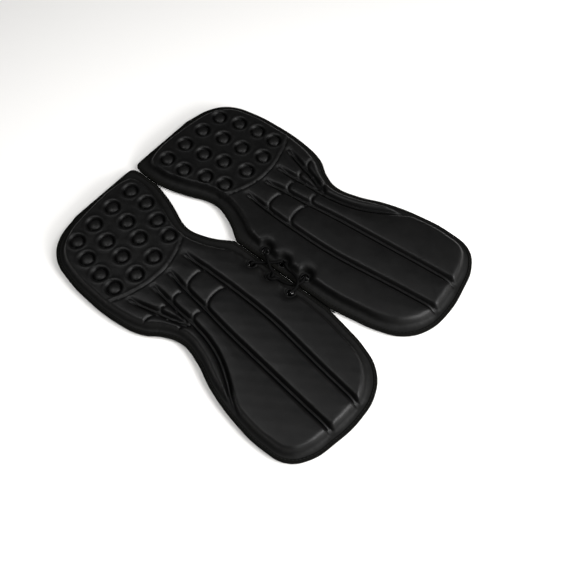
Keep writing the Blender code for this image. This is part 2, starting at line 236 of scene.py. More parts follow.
# The lace is pressed thinner where its ends go into their tips.
CRIMP = 0.24
CRIMP_REACH = 2.5
TIP_OVERLAP = 0.8
LACE_ROUTE = [
    (-2.3, -92, 1.9), (-2.3, -78, 1.9), (-4.3, -66, 1.9), (-10, -57.2, 1.9), (-11.9, -54.8, 1.9),
    (-12.9, -53.4, 2.6), (-13.4, -52.9, 4.6), (-14, -53.5, 7.6), (-13.3, -54, 9.5),
    (-11.4, -54.4, 10.3), (-8, -55.2, 10.4), (-3.8, -55.6, 12), (0.5, -53.5, 13.3), (4.3, -48, 11.7),
    (7.4, -41.5, 9.8), (8.1, -36, 9.5), (8.4, -32.4, 9.8), (9.8, -29.6, 10.4), (10.6, -27.4, 10.2),
    (10.9, -26, 8.6), (10.9, -25.8, 4.6), (10.4, -25.8, 2.7), (9, -25.8, 1.9), (0, -25.8, 1.9),
    (-9, -25.8, 1.9), (-10.4, -25.8, 2.7), (-10.9, -25.8, 4.6), (-10.9, -25.9, 7.6),
    (-10.1, -26.1, 9.6), (-8, -26, 10.4), (-5.6, -23.4, 10.5), (-4.2, -19, 11.4), (0.2, -11.2, 13.3),
    (4, -6, 12), (7, -1.8, 10.7), (9.8, 1, 10.4), (12.3, 2, 9.5), (13, 2, 7.4), (13, 2, 4.6),
    (12.3, 2, 2.6), (10.5, 2, 1.9), (0, 2, 1.9), (-10.5, 2, 1.9), (-12.3, 2, 2.6), (-13, 2, 4.6),
    (-13, 2, 7.4), (-12.2, 1.8, 9.5), (-9.6, 0.6, 10.4), (-6.6, -2.8, 10.1), (-3.4, -7.2, 9.8),
    (0.2, -11.4, 9.8), (4.6, -16.2, 9.8), (7.4, -18.8, 10.3), (9.3, -20.4, 10.4), (10.6, -21.6, 9.8),
    (10.9, -22.2, 8.2), (10.9, -22.2, 4.6), (10.4, -22.2, 2.7), (9, -22.2, 1.9), (0, -22.2, 1.9),
    (-9, -22.2, 1.9), (-10.4, -22.2, 2.7), (-10.9, -22.2, 4.6), (-10.1, -22.2, 7.6),
    (-10.5, -22.3, 9.5), (-12.2, -22.7, 10.3), (-14.2, -24.4, 10.4), (-14.2, -27.2, 10.4),
    (-12.4, -29.4, 10.3), (-9.8, -30.5, 10.1), (-8.1, -33.4, 9.6), (-7.9, -38.4, 9.6), (-6.4, -44, 9.7),
    (-3, -50, 9.8), (1.2, -54.2, 9.8), (5.4, -55.6, 10.2), (9, -55.2, 10.4), (11.8, -54.4, 10.1),
    (13.7, -53.6, 8.6), (13.5, -52.9, 4.6), (12.9, -53.4, 2.6), (11.9, -54.8, 1.9), (10, -57.2, 1.9),
    (4.3, -66, 1.9), (2.3, -78, 1.9), (2.3, -92, 1.9),
]


# ---------------------------------------------------------------- plan geometry


def bezier_loop(outline, steps=8):
    """The closed outline of smooth and sharp anchors as points, the same curve that the CAD has."""
    curve = bpy.data.curves.new("outline", "CURVE")
    curve.dimensions = "2D"
    curve.fill_mode = "NONE"
    curve.resolution_u = steps
    spline = curve.splines.new("BEZIER")
    spline.bezier_points.add(len(outline) - 1)
    for point, (u, y, *sharp) in zip(spline.bezier_points, outline):
        point.co = (u, y, 0)
        handle = "VECTOR" if sharp else "AUTO"
        point.handle_left_type = handle
        point.handle_right_type = handle
    spline.use_cyclic_u = True
    obj = bpy.data.objects.new("outline", curve)
    bpy.context.scene.collection.objects.link(obj)
    bpy.context.view_layer.update()
    points = np.array([v.co[:2] for v in obj.to_mesh().vertices])
    obj.to_mesh_clear()
    bpy.data.objects.remove(obj)
    bpy.data.curves.remove(curve)
    return anticlockwise(points)


def anticlockwise(points):
    following = np.roll(points, -1, 0)
    area = (points[:, 0] * following[:, 1] - points[:, 1] * following[:, 0]).sum()
    return points if area > 0 else points[::-1]


def catmull_rom(points, step):
    """Points about step apart along a smooth curve through the given ones."""
    points = np.array(points, float)
    knots = np.vstack([2 * points[0] - points[1], points, 2 * points[-1] - points[-2]])
    fine = []
    for a, b, c, d in zip(knots, knots[1:], knots[2:], knots[3:]):
        count = max(1, round(np.linalg.norm(c - b) / step))
        for t in np.arange(count) / count:
            square = (2 * a - 5 * b + 4 * c - d) * t**2
            cube = (3 * b - a - 3 * c + d) * t**3
            fine.append(0.5 * (2 * b + (c - a) * t + square + cube))
    fine.append(points[-1])
    return np.array(fine)


def arches(knots, step):
    """Points about step apart along a row of shallow arches from knot to knot."""
    fine = []
    for (u, y), (next_u, next_y) in zip(knots, knots[1:]):
        span = next_u - u
        for t in np.arange(round(span / step)) / round(span / step):
            fine.append((u + span * t, y + (next_y - y) * t + 4 * CREASE_ARCH * span * t * (1 - t)))
    fine.append(knots[-1])
    return np.array(fine, float)


def lengths_along(line):
    """How far along the line each of its points is."""
    return np.concatenate([[0], np.cumsum(np.linalg.norm(np.diff(line, axis=0), axis=1))])


def even_steps(points, step, closed=False):
    """The line's points again, an equal step apart along it."""
    line = np.vstack([points, points[:1]]) if closed else points
    reach = lengths_along(line)
    count = max(2, round(reach[-1] / step))
    at = np.linspace(0, reach[-1], count + 1)[: -1 if closed else None]
    return np.column_stack([np.interp(at, reach, line[:, k]) for k in range(line.shape[1])])


def edge_normals(points, closed):
    """At each point of a line, the normal to its left, longer at corners so that an offset stays parallel."""
    if closed:
        before, after = points - np.roll(points, 1, 0), np.roll(points, -1, 0) - points
    else:
        steps = np.diff(points, axis=0)
        before, after = np.vstack([steps[:1], steps]), np.vstack([steps, steps[-1:]])
    before = before / np.linalg.norm(before, axis=1)[:, None]
    after = after / np.linalg.norm(after, axis=1)[:, None]
    middle = before + after
    middle /= np.linalg.norm(middle, axis=1)[:, None]
    stretch = 1 / np.clip((middle * after).sum(1), 0.6, 1)
    return np.column_stack([-middle[:, 1], middle[:, 0]]) * stretch[:, None]


def distance_to(points, line, closed=False):
    """Each point's distance to a line."""
    ends = np.vstack([line, line[:1]]) if closed else line
    a, b = ends[:-1], ends[1:]
    along = b - a
    squared = np.maximum((along**2).sum(1), 1e-12)
    found = np.empty(len(points))
    for start in range(0, len(points), 4000):
        p = points[start : start + 4000]
        t = np.clip(((p[:, None] - a) * along).sum(2) / squared, 0, 1)
        gap = p[:, None] - a - t[..., None] * along
        found[start : start + 4000] = np.sqrt((gap**2).sum(2).min(1))
    return found


def is_inside(points, loop):
    a, b = loop, np.roll(loop, -1, 0)
    found = np.zeros(len(points), bool)
    for (ax, ay), (bx, by) in zip(a, b):
        crosses = (ay > points[:, 1]) != (by > points[:, 1])
        if ay != by:
            found ^= crosses & (points[:, 0] < (bx - ax) * (points[:, 1] - ay) / (by - ay) + ax)
    return found


def depth_inside(points, loop):
    """Each point's distance from the loop, positive inside it."""
    return np.where(is_inside(points, loop), 1, -1) * distance_to(points, loop, closed=True)


PAD_LOOP = bezier_loop(PAD_OUTLINE)
RAISED_LOOP = bezier_loop(RAISED_OUTLINE)
GROOVE_LINES = [catmull_rom(line, 4) for line in GROOVES]
CREASE_LINES = [arches(line, 2) for line in CREASES]
LIP_LINE = catmull_rom(LIP, 4)


# ---------------------------------------------------------------- the relief


def soft_ramp(x, softness=0.03):
    """0 below 0 and x above it, with a small fillet between."""
    return 0.5 * (x + np.sqrt(x * x + softness))


def shoulder(distance, reach, power=BORDER_POWER):
    """From 0 at the foot of a slope to 1 at its top, steep at the foot and rounded over at the top."""
    t = np.clip(soft_ramp(distance / reach), 0, 1)
    return 1 - (1 - t) ** power


def soft_least(distances, softness):
    """The least of several distances, rounded off where two are alike."""
    stack = np.array(distances)
    low = stack.min(0)
    return low - softness * np.log(np.exp((low - stack) / softness).sum(0))


def bump(x, width):
    return np.exp(-((x / width) ** 2))


def above_lip(points):
    """True on the dome panel, which is the part of the body above the lip line."""
    order = np.argsort(LIP_LINE[:, 0])
    return points[:, 1] > np.interp(points[:, 0], LIP_LINE[order, 0], LIP_LINE[order, 1])


def nearest(points, centres):
    """Each point's distance to the nearest of several centres."""
    return np.min([np.hypot(*(points - centre).T) for centre in centres], 0)


def body_depth(points):
    """The distance inside the raised body, which stands back from each eyelet."""
    edges = [depth_inside(points, RAISED_LOOP)]
    edges += [SCALLOP_STEEPNESS * (np.hypot(*(points - centre).T) - SCALLOP_RADIUS) for centre in EYELETS]
    return soft_least(edges, SCALLOP_CORNER)


def channels(points, border):
    """(how far grooves and creases sink, distance outside the nearest groove, and outside any channel)."""
    middle = soft_least([distance_to(points, line) for line in GROOVE_LINES], GROOVE_CORNER)
    groove = middle - GROOVE_EDGE
    fold = np.min([distance_to(points, line) for line in CREASE_LINES], 0)
    crease = CREASE_STEEPNESS * (fold - CREASE_FLOOR)
    cell = soft_least([groove, crease], CELL_CORNER)
    inward = shoulder(border, GROOVE_MOUTH, SOFT_POWER)
    groove_depth = BODY_HEIGHT - (BODY_HEIGHT - GROOVE_DEPTH) * inward
    groove_depth -= RIDGE_HEIGHT * inward * (1 - np.clip(middle / RIDGE_WIDTH, 0, 1) ** 3)
    groove_depth *= shoulder(nearest(points, [line[0] for line in GROOVE_LINES]), GROOVE_START, SOFT_POWER)
    depth = CREASE_DEPTH + (groove_depth - CREASE_DEPTH) / (1 + np.exp(np.clip(groove - crease, -30, 30)))
    return depth * (1 - shoulder(cell, GROOVE_REACH, GROOVE_POWER)), groove, cell


def body_edge(points, border):
    """From 0 on the flange to 1 on the body: a rounded edge, longer at the lower end, lower by eyelets."""
    end = np.clip((END_FROM - points[:, 1]) / END_SPAN, 0, 1)
    whole = shoulder(border, BORDER_REACH + (END_REACH - BORDER_REACH) * end)
    past = shoulder(nearest(points, EYELETS) - SCALLOP_RADIUS, SCALLOP_REACH, SOFT_POWER)
    return whole * (SCALLOP_LEVEL + (1 - SCALLOP_LEVEL) * past)


def add_dome(points, centre, high, worn, deep):
    """Sinks a ring into the panel, with a dome in its middle and a low rim round it."""
    radius = np.hypot(*(points - centre).T)
    near = radius < 2 * DOME_RADIUS
    r = radius[near]
    dome = (DOME_DEPTH + DOME_RISE) * np.sqrt(np.clip(1 - (r / DOME_RADIUS) ** 2, 0, 1)) - DOME_DEPTH
    wall_of_ring = -DOME_DEPTH * (1 - shoulder(r - DOME_RADIUS - RING_FLOOR, RING_SLOPE, SOFT_POWER))
    rim = RIM_HEIGHT * bump(r - RIM_PLACE, RIM_WIDTH)
    high[near] += np.where(r < DOME_RADIUS, dome, wall_of_ring + rim)
    worn[near] = np.maximum(worn[near], DOME_WEAR * bump(r - WORN_PLACE, DOME_WEAR_WIDTH))
    # Painted shade in the floor of the ring.
    deep[near] = np.maximum(deep[near], bump(r - DOME_RADIUS - RING_FLOOR, FOOT_SHADE_WIDTH))


def slight_waves(points):
    """The unevenness of a moulded foam front, about a tenth of a millimetre."""
    u, y = points.T
    return 0.12 * np.sin(0.19 * u + 1.1) * np.sin(0.131 * y + 0.5) + 0.07 * np.sin(0.43 * u - 0.27 * y)


def relief(points):
    """(height above the flange, how worn, painted shade in grooves and at the foot, and 1 on the flange)."""
    border = body_depth(points)
    panel = above_lip(points)
    lip = distance_to(points, LIP_LINE)
    sunk, groove, cell = channels(points, border)
    sunk = np.where(panel, 0, sunk) + LIP_DEPTH * (1 - shoulder(lip, LIP_REACH, LIP_POWER))
    crown = CROWN * (1 - np.exp(-np.maximum(np.minimum(cell, border), 0) / CROWN_REACH))
    crown = np.where(panel, PANEL_CROWN, crown)
    whole = body_edge(points, border)
    top_edge = border - EDGE_INSET
    border_bead = BORDER_BEAD * bump(top_edge - BEAD_PLACE, BEAD_WIDTH)
    bead = np.maximum(bump(lip - BEAD_PLACE, BEAD_WIDTH), border_bead)
    high = (BODY_HEIGHT - sunk + crown) * whole + np.where(panel, BEAD_HEIGHT * bead, 0)
    worn = np.where(panel, bead, bump(np.minimum(cell, top_edge) - WORN_PLACE, WORN_WIDTH))
    # Painted shade along the grooves and at the foot of the body.
    deep = np.where(panel, 0, bump(groove - GROOVE_SHADE_PLACE, GROOVE_SHADE_WIDTH))
    deep = np.maximum(deep, bump(border - FOOT_SHADE_PLACE, FOOT_SHADE_WIDTH))
    for centre in DOMES:
        add_dome(points, centre, high, worn, deep)
    high += slight_waves(points) * whole
    flange = 1 - shoulder(border - FLANGE_EDGE, FLANGE_REACH)
    return np.where(border > -1, np.maximum(high, 0), 0), worn * (border > 0), deep * (border > -2), flange


# ---------------------------------------------------------------- meshes over the plan


def rows_beside(line, offsets, step, closed=False):
    """Points in rows parallel to a line, so that the mesh's edges follow it."""
    even = even_steps(line, step, closed)
    normals = edge_normals(even, closed)
    return [even + normals * offset for offset in offsets]


def both_sides(offsets):
    """0, and each offset to the right and to the left."""
    return [0] + [side * offset for offset in offsets for side in (-1, 1)]


def circle(centre, radius, step):
    count = max(8, round(2 * math.pi * radius / step))
    turn = np.arange(count) * 2 * math.pi / count
    return np.array(centre) + radius * np.column_stack([np.cos(turn), np.sin(turn)])


def hexagonal_grid(loop, step):
    low, high = loop.min(0), loop.max(0)
    rows = []
    for number, y in enumerate(np.arange(low[1], high[1], step * math.sqrt(3) / 2)):
        u = np.arange(low[0] + (number % 2) * step / 2, high[0], step)
        rows.append(np.column_stack([u, np.full(len(u), y)]))
    return np.vstack(rows)


def spread_out(groups, gaps):
    """The groups' points in order, without those closer than their group's gap to one already taken."""
    cell = max(gaps)
    taken, kept = {}, []
    for points, gap in zip(groups, gaps):
        for p in points:
            key = (int(p[0] // cell), int(p[1] // cell))
            near = (
                q
                for i in (-1, 0, 1)
                for j in (-1, 0, 1)
                for q in taken.get((key[0] + i, key[1] + j), ())
            )
            if all((p[0] - q[0]) ** 2 + (p[1] - q[1]) ** 2 >= gap * gap for q in near):
                taken.setdefault(key, []).append(p)
                kept.append(p)
    return np.array(kept)


def triangulate(loop, holes, groups, gaps):
    """(points, triangles) of the area inside a loop and outside the holes, cut along the split."""
    across = np.arange(loop[:, 0].min() - 1, loop[:, 0].max() + 1, 1.8)
    split = np.column_stack([across, np.full(len(across), SPLIT_Y)])
    fixed = [loop, *holes, split]
    firm = np.vstack(fixed)
    spread = spread_out([firm, *groups], [0, *gaps])[len(firm) :]
    spread = spread[depth_inside(spread, loop) > 0.5]
    edges = []
    start = 0
    for line in fixed:
        count = len(line) - 1 if line is split else len(line)
        edges += [(start + i, start + (i + 1) % len(line)) for i in range(count)]
        start += len(line)
    flat = [Vector(p) for p in np.vstack([firm, spread])]
    points, _, faces, *_ = delaunay_2d_cdt(flat, edges, [], 0, 1e-5, False)
    points, faces = np.array(points), np.array(faces)
    middle = points[faces].mean(1)
    keep = is_inside(middle, loop)
    for hole in holes:
        keep &= ~is_inside(middle, hole)
    return points, faces[keep]


def part_of(points, faces, part):
    """The triangles of the lower or the upper part, with only the points that they use."""
    below = points[faces].mean(1)[:, 1] < SPLIT_Y
    faces = faces[below if part == "lower" else ~below]
    used, numbers = np.unique(faces, return_inverse=True)
    return used, numbers.reshape(faces.shape)


def new_object(name, vertices, faces, look, sharp=55):
    mesh = bpy.data.meshes.new(name)
    mesh.from_pydata(vertices, [], faces)
    mesh.update()
    mesh.shade_smooth()
    mesh.set_sharp_from_angle(angle=math.radians(sharp))
    mesh.materials.append(look)
    obj = bpy.data.objects.new(name, mesh)
    bpy.context.scene.collection.objects.link(obj)
    return obj


def give(obj, **values):
    """Stores numbers on the points of a mesh, for its material to read."""
    for name, numbers in values.items():
        attribute = obj.data.attributes.new(name, "FLOAT", "POINT")
        attribute.data.foreach_set("value", np.asarray(numbers, np.float32))


def closed_sheet(name, points, faces, top, bottom, side, look):
    """A closed body between two heights over the same triangles, for the left or the right pad."""
    count = len(points)
    x = SIDES[side] * points[:, 0]
    y = points[:, 1]
    vertices = np.vstack([np.column_stack([x, y, top]), np.column_stack([x, y, bottom])]) * MM
    if SIDES[side] < 0:
        faces = faces[:, ::-1]
    edges = np.vstack([faces[:, [0, 1]], faces[:, [1, 2]], faces[:, [2, 0]]])
    there = set(map(tuple, edges.tolist()))
    rim = [(b, a, a + count, b + count) for a, b in edges.tolist() if (b, a) not in there]
    return new_object(name, vertices, faces.tolist() + (faces[:, ::-1] + count).tolist() + rim, look)


def tube_faces(count, ring, flipped, first=0):
    """The quads and the two end caps of a tube of count rings, whose points start at number first."""
    faces = []
    for i in range(count - 1):
        for j in range(ring):
            a, b = first + i * ring + j, first + i * ring + (j + 1) % ring
            faces.append((a, a + ring, b + ring, b) if flipped else (a, b, b + ring, a + ring))
    start = list(range(first, first + ring))
    end = [number + (count - 1) * ring for number in start]
    return faces + ([start, end[::-1]] if flipped else [start[::-1], end])


def bend(obj, side, part):
    """Bakes the placing of a lower or upper piece into its mesh."""
    low, high = BENDS[part]
    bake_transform(obj)


def stands_for(layer, side, part):
    """The nodes of a layer that a piece replaces: the lower piece is the band's too."""
    names = [f"{side}_{part}_{layer}"]
    return names + [f"{side}_band_{layer}"] if part == "lower" else names


def sheets(kind, points, faces, top, bottom, look):
    """Makes a layer's four closed bodies, and yields each with its side, its part and its points' numbers."""
    for side in SIDES:
        for part in PARTS:
            used, numbers = part_of(points, faces, part)
            name = f"{side}_{kind}_{part}"
            sheet = closed_sheet(name, points[used], numbers, top[used], bottom[used], side, look)
            bend(sheet, side, part)
            yield sheet, side, part, used


# ---------------------------------------------------------------- materials


class Nodes:
    """A short way to write a material's nodes."""

    def __init__(self, name):
        self.material = bpy.data.materials.new(name)
        self.material.use_nodes = True
        self.tree = self.material.node_tree
        self.shader = self.tree.nodes["Principled BSDF"]
        self.place = self.tree.nodes.new("ShaderNodeTexCoord").outputs["Object"]

    def add(self, kind, inputs=(), **settings):
        node = self.tree.nodes.new("ShaderNode" + kind)
        for name, value in settings.items():
            setattr(node, name, value)
        for key, value in dict(inputs).items():
            self.put(node.inputs[key], value)
        return node

    def put(self, socket, value):
        if isinstance(value, bpy.types.NodeSocket):
            self.tree.links.new(value, socket)
        else:
            socket.default_value = value

    def noise(self, scale, detail=4, roughness=0.55):
        inputs = {"Vector": self.place, "Scale": scale, "Detail": detail, "Roughness": roughness}
        return self.add("TexNoise", inputs).outputs["Fac"]

    def cells(self, scale, feature="F1", randomness=1.0):
        inputs = {"Vector": self.place, "Scale": scale, "Randomness": randomness}
        return self.add("TexVoronoi", inputs, feature=feature).outputs["Distance"]

    def stored(self, name):
        return self.add("Attribute", attribute_name=name).outputs["Fac"]

    def ramp(self, value, low, high, to_low=0.0, to_high=1.0):
        inputs = {"Value": value, "From Min": low, "From Max": high, "To Min": to_low, "To Max": to_high}
        return self.add("MapRange", inputs).outputs["Result"]

    def math(self, operation, a, b=0.0):
        return self.add("Math", {0: a, 1: b}, operation=operation).outputs[0]

    def mix(self, share, a, b):
        """A colour between a and b. A Mix node's colour sockets are its inputs 6 and 7 and its output 2."""
        return self.add("Mix", {0: share, 6: a, 7: b}, data_type="RGBA").outputs[2]

    def raised(self, height, depth, strength=1.0, over=None):
        """A bump of the height, whose full range is depth metres, over an earlier bump."""
        inputs = {"Height": height, "Distance": depth, "Strength": strength}
        if over is not None:
            inputs["Normal"] = over
        return self.add("Bump", inputs).outputs["Normal"]

    def finish(self, **sockets):
        for name, value in sockets.items():
            self.put(self.shader.inputs[name.replace("_", " ")], value)
        return self.material


def grey(value, warmth=0.0):
    return (value * (1 + warmth), value, value * (1 - warmth), 1)


def olive(value):
    return (value, value, value * 0.8, 1)


def cover_material():
    """Black grained synthetic leather, worn a little on its edges, with painted shade in its grooves."""
    n = Nodes("grained_leather")
    worn, deep, flange = n.stored("worn"), n.stored("deep"), n.stored("flange")
    cloudy = n.ramp(n.noise(55, 5), 0.35, 0.7)
    speckle = n.ramp(n.noise(900, 3), 0.3, 0.7)
    base = n.mix(cloudy, grey(0.0015), grey(0.003, 0.02))
    scuffed = n.mix(n.math("MULTIPLY", worn, n.math("MULTIPLY", speckle, 0.5)), base, grey(0.009, 0.02))
    # Painted shade: near black in the grooves, at the body's foot and in the dome rings.
    painted_shade_colour = n.mix(n.math("MULTIPLY", deep, 0.85), scuffed, grey(0.0003))
    shaded = n.mix(n.math("MULTIPLY", flange, 0.9), painted_shade_colour, olive(0.0009))
    pebble = n.ramp(n.cells(880, "DISTANCE_TO_EDGE"), 0, 0.16)
    creased = n.raised(n.noise(140, 6, 0.6), 0.00035, 0.35)
    grained = n.raised(pebble, 0.00012, 0.35, creased)
    fine = n.raised(n.noise(3800, 2), 0.00004, 0.3, grained)
    dull = n.ramp(n.noise(260, 4), 0.3, 0.7, 0.4, 0.5)
    rubbed = n.math("SUBTRACT", dull, n.math("MULTIPLY", worn, 0.05))
    rough = n.math("ADD", rubbed, n.math("MULTIPLY", flange, 0.2))
    return n.finish(Base_Color=shaded, Roughness=rough, Normal=fine, Specular_IOR_Level=0.16)


def tape_material():
    """Black woven binding tape: ribs across the tape, and a faint brown cast to the yarn."""
    n = Nodes("binding_tape")
    ribs = n.math("SINE", n.math("MULTIPLY", n.stored("along"), 2 * math.pi / 0.00085))
    yarn = n.math("SINE", n.math("MULTIPLY", n.stored("across"), 2 * math.pi / 0.0007))
    weave = n.math("MULTIPLY", n.math("ADD", n.math("MULTIPLY", ribs, yarn), 1.0), 0.5)
    shade = n.mix(n.ramp(n.noise(70, 4), 0.3, 0.7), olive(0.001), olive(0.002))
    colour = n.mix(n.math("MULTIPLY", weave, 0.35), shade, olive(0.004))
    bumped = n.raised(weave, 0.00014, 0.6, n.raised(n.noise(2600, 3), 0.00005, 0.4))
    return n.finish(
        Base_Color=colour, Roughness=n.ramp(weave, 0, 1, 0.85, 0.7), Normal=bumped, Specular_IOR_Level=0.05,
    )


def thread_material():
    n = Nodes("thread")
    twist = n.ramp(n.noise(3200, 2), 0.3, 0.7)
    return n.finish(
        Base_Color=n.mix(twist, grey(0.003), grey(0.008)), Roughness=n.ramp(twist, 0, 1, 0.5, 0.65),
        Normal=n.raised(twist, 0.0001, 0.6), Specular_IOR_Level=0.15,
    )


def foam_material():
    n = Nodes("foam")
    open_cells = n.cells(1400)
    return n.finish(
        Base_Color=n.mix(open_cells, grey(0.03), grey(0.07)), Roughness=n.ramp(open_cells, 0, 1, 0.85, 0.95),
        Normal=n.raised(open_cells, 0.0002, 0.7),
    )


def board_material():
    """Thin pressed sheet with a fine cloth print and a cloudy surface."""
    n = Nodes("pressed_sheet")
    print_grain = n.ramp(n.cells(1500), 0.1, 0.7)
    colour = n.mix(n.ramp(n.noise(90, 5), 0.3, 0.7), grey(0.009), grey(0.016))
    return n.finish(
        Base_Color=colour, Roughness=n.ramp(n.noise(400, 3), 0.3, 0.7, 0.6, 0.75),
        Normal=n.raised(print_grain, 0.00008, 0.5),
    )


def lining_material():
    """Spacer mesh: small round openings in a knitted face."""
    n = Nodes("spacer_mesh")
    openings = n.ramp(n.cells(430, randomness=0.25), 0.18, 0.5)
    knit = n.ramp(n.noise(2400, 2), 0.3, 0.7)
    colour = n.mix(openings, grey(0.004), n.mix(knit, grey(0.012), grey(0.024)))
    return n.finish(
        Base_Color=colour, Roughness=n.ramp(knit, 0, 1, 0.8, 0.95),
        Normal=n.raised(openings, 0.0005, 0.8, n.raised(knit, 0.0001, 0.5)), Sheen_Weight=0.15,
        Sheen_Roughness=0.6,
    )


def enamel_material():
    """Black enamelled metal, rubbed to the metal in places along its edges."""
    n = Nodes("black_enamel")
    rubbed = n.math("MULTIPLY", n.stored("worn"), n.ramp(n.noise(700, 5), 0.5, 0.66))
    return n.finish(
        Base_Color=n.mix(rubbed, grey(0.0012), grey(0.012, 0.03)), Specular_IOR_Level=0.12,
        Roughness=n.ramp(n.noise(500, 3), 0.3, 0.7, 0.42, 0.55),
        Normal=n.raised(n.noise(600, 3), 0.00005, 0.3),
    )


def lace_material():
    """Braided cord: its yarns lie proud in the mesh, with fine threads in each."""
    n = Nodes("braided_cord")
    threads = n.math("SINE", n.math("MULTIPLY", n.stored("thread"), 2 * math.pi))
    lit = n.ramp(threads, -1, 1)
    yarn = n.stored("yarn")
    # Painted light and shade on the braid: lighter where a yarn stands proud and on each thread's crest.
    colour = n.mix(n.math("MULTIPLY", yarn, lit), grey(0.0006), grey(0.002))
    return n.finish(
        Base_Color=colour, Roughness=n.ramp(n.noise(900, 3), 0.3, 0.7, 0.6, 0.8), Specular_IOR_Level=0.06,
        Normal=n.raised(lit, 0.00008, 0.6, n.raised(n.noise(4000, 2), 0.00004, 0.4)),
    )


def tip_material():
    n = Nodes("crimped_tip")
    scratches = n.ramp(n.noise(1100, 6, 0.7), 0.35, 0.7)
    return n.finish(
        Base_Color=n.mix(scratches, grey(0.006), grey(0.014)), Roughness=n.ramp(scratches, 0, 1, 0.22, 0.38),
        Normal=n.raised(scratches, 0.00004, 0.4), Coat_Weight=0.3, Coat_Roughness=0.15,
    )


def floor_material():
    n = Nodes("pale_floor")
    cloudy = n.noise(1.2, 3)
    return n.finish(
        Base_Color=n.mix(cloudy, (0.86, 0.85, 0.835, 1), (0.9, 0.89, 0.875, 1)),
        Roughness=n.ramp(n.noise(30, 3), 0.3, 0.7, 0.9, 1.0), Normal=n.raised(n.noise(500, 2), 0.0001, 0.1),
        Specular_IOR_Level=0.1,
    )


# ---------------------------------------------------------------- layers of a pad


def ring_rows(centre, radii):
    return [circle(centre, radius, RING_STEP) for radius in radii]


def eyelet_holes():
    return [circle(centre, EYELET_HOLE, 1) for centre in EYELETS]


def rim_loop(inset, step):
    """The pad's outline, moved inward."""
    return even_steps(PAD_LOOP + edge_normals(PAD_LOOP, True) * inset, step, closed=True)


def body_loop(inset, step):
    """The raised body's outline, moved inward."""
    return even_steps(RAISED_LOOP + edge_normals(RAISED_LOOP, True) * inset, step, closed=True)


def make_covers(look):
    """The moulded fronts, in a lower and an upper piece for each pad."""
    loop = rim_loop(RIM_INSET, 2.2)
    rows = []
    for centre in DOMES:
        rows += ring_rows(centre, DOME_ROWS)
    for line in GROOVE_LINES:
        rows += rows_beside(line, both_sides(GROOVE_ROWS), ROW_STEP)
    for line in CREASE_LINES:
        rows += rows_beside(line, both_sides(CREASE_ROWS), ROW_STEP)
    rows += rows_beside(LIP_LINE, both_sides(LIP_ROWS), ROW_STEP)
    rows += rows_beside(RAISED_LOOP, BODY_ROWS, ROW_STEP, True)
    for centre in EYELETS:
        rows += ring_rows(centre, [SCALLOP_RADIUS + outward for outward in SCALLOP_ROWS])
    groups = [np.vstack(rows), hexagonal_grid(loop, 2.8)]
    points, faces = triangulate(loop, eyelet_holes(), groups, [0.72, 1.7])
    high, worn, deep, flange = relief(points)
    top = FLANGE_TOP + high
    for cover, side, part, used in sheets("front", points, faces, top, top - SKIN, look):
        # The points carry their wear, their painted shade and the flange for the material.
        give(cover, worn=np.tile(worn[used], 2), deep=np.tile(deep[used], 2), flange=np.tile(flange[used], 2))
        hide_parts(*stands_for("cover", side, part))


def lowest_near(points, reach):
    """The least height of the relief within reach of each point."""
    around = [relief(points)[0]]
    for turn in np.arange(8) * math.pi / 4:
        shift = reach * np.array([math.cos(turn), math.sin(turn)])
        around.append(relief(points + shift)[0])
    return np.min(around, 0)


def make_foam(look):
    """The foam that fills each raised body, close under its cover."""
    loop = body_loop(FOAM_INSET, 4)
    holes = [circle(centre, SCALLOP_RADIUS + FOAM_INSET, 3) for centre in EYELETS]
    points, faces = triangulate(loop, holes, [hexagonal_grid(loop, 4)], [2.4])
    top = FLANGE_TOP + lowest_near(points, FOAM_STAND_BACK) - SKIN - CLEARANCE
    top = np.maximum(top, COVER_BOTTOM + FOAM_LEAST)
    bottom = np.full(len(points), COVER_BOTTOM)
    for foam, side, part, _ in sheets("foam", points, faces, top, bottom, look):
        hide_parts(*stands_for("core", side, part))


def make_boards(look):
    """The thin stiff sheet behind each front, as wide as the flange."""
    loop = rim_loop(RIM_INSET, 3)
    points, faces = triangulate(loop, eyelet_holes(), [hexagonal_grid(loop, 4)], [2.4])
    top = np.full(len(points), BOARD_TOP)
    bottom = np.full(len(points), BOARD_BOTTOM)
    for board, side, part, _ in sheets("sheet", points, faces, top, bottom, look):
        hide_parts(*stands_for("board", side, part))


def quilting_lines(low, high):
    """Two families of parallel straight seams that cross over the whole of a box."""
    lines = []
    for slope in (QUILT_SLOPE, -QUILT_SLOPE):
        for shift in np.arange(-320, 460, QUILT_PITCH):
            start = low[0] + shift
            lines.append(np.array([(start, low[1]), (start + slope * 400, high[1] + 20)]))
    return lines


def make_linings(look):
    """The padded backs: rounded round the edge and drawn in along lines of quilting."""
    edge = body_loop(LINING_INSET, 2.5)
    quilting = quilting_lines(edge.min(0), edge.max(0))
    rows = []
    for line in quilting:
        rows += rows_beside(line, both_sides((1.2, 2.6, 4.4)), 2.4)
    rows += rows_beside(edge, (0.6, 1.3, 2.2, 3.4, 5), 2.4, True)
    points, faces = triangulate(edge, [], [np.vstack(rows), hexagonal_grid(edge, 4.5)], [1.1, 2.6])
    inner = depth_inside(points, edge)
    seam = np.min([distance_to(points, line) for line in quilting], 0)
    puff = shoulder(inner, 5, 2) * (0.62 + 0.38 * shoulder(seam, 6, 2))
    bottom = (LINING_TOP - 0.8) * (1 - puff)
    top = LINING_TOP - 0.6 * (1 - shoulder(inner, 3))
    for lining, side, part, _ in sheets("back", points, faces, top, bottom, look):
        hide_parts(*stands_for("lining", side, part))


